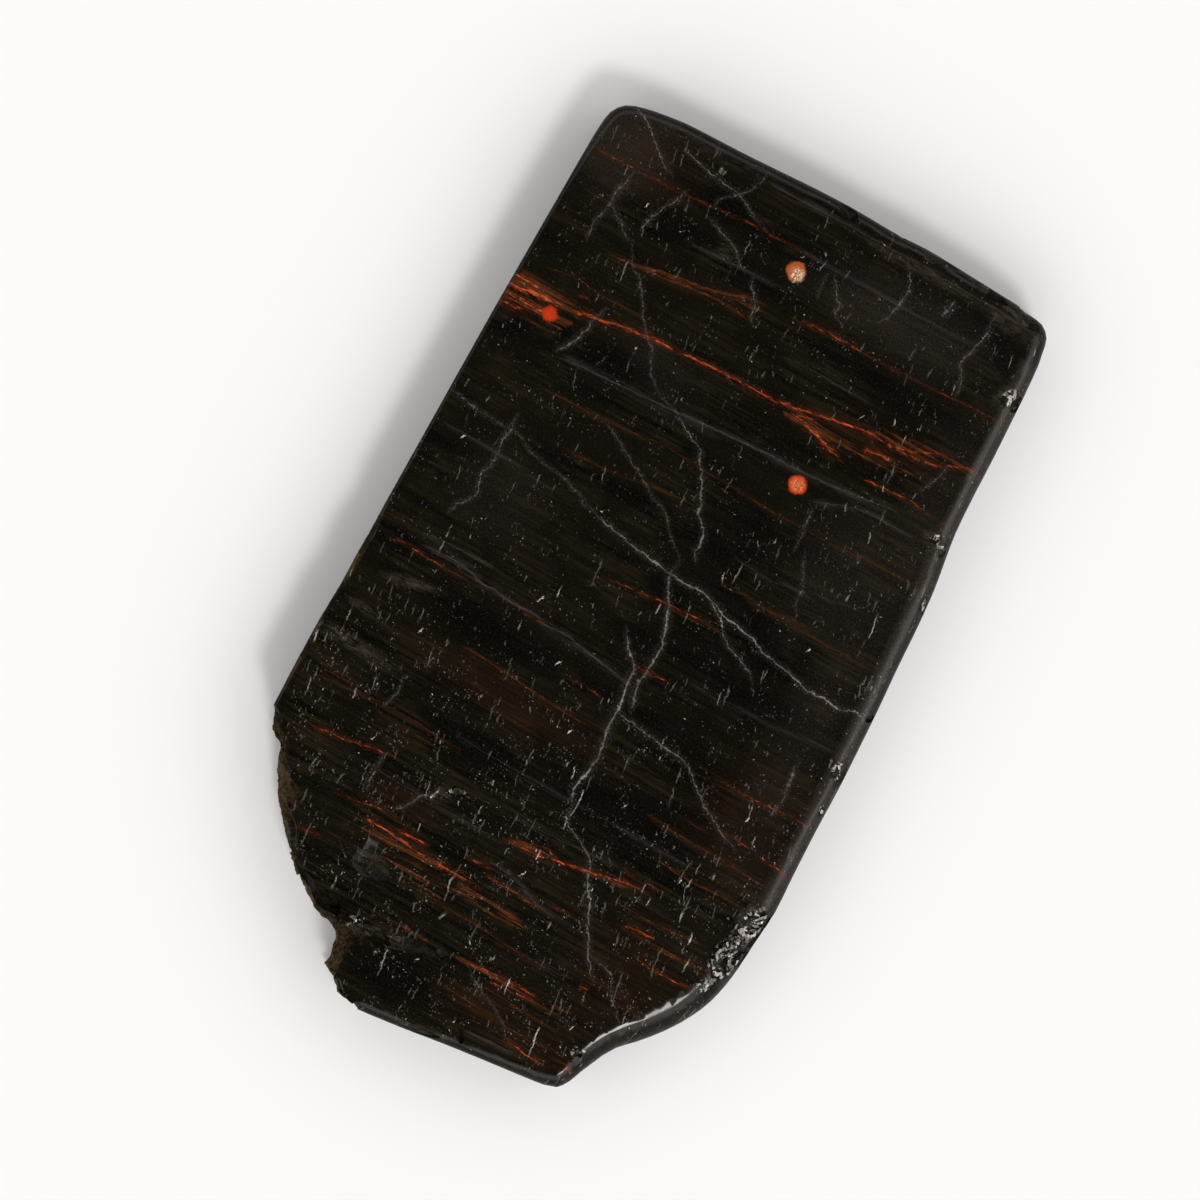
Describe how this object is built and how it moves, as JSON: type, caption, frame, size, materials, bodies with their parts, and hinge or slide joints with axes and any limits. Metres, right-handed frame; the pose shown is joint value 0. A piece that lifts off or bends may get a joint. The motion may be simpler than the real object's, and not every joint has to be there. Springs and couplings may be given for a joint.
{
  "type": "polished black tourmaline slab",
  "caption": "Flat polished slab of black tourmaline with red hematite streaks, a raw broken side and softly rounded edges. It lies on its back face.",
  "frame": {"origin": "on the resting face, under the middle of the slab's bounding box", "axes": "+Y along the slab, from its narrow broken end to its square end; +X across it; +Z out of the polished face"},
  "size_m": [0.0594, 0.1034, 0.009],
  "materials": {
    "tourmaline": "polished black stone with red, brown and grey streaks along the slab's width; raw and matt on the broken side"
  },
  "bodies": {
    "root": {"tourmaline_slab": "tourmaline"}
  },
  "joints": []
}
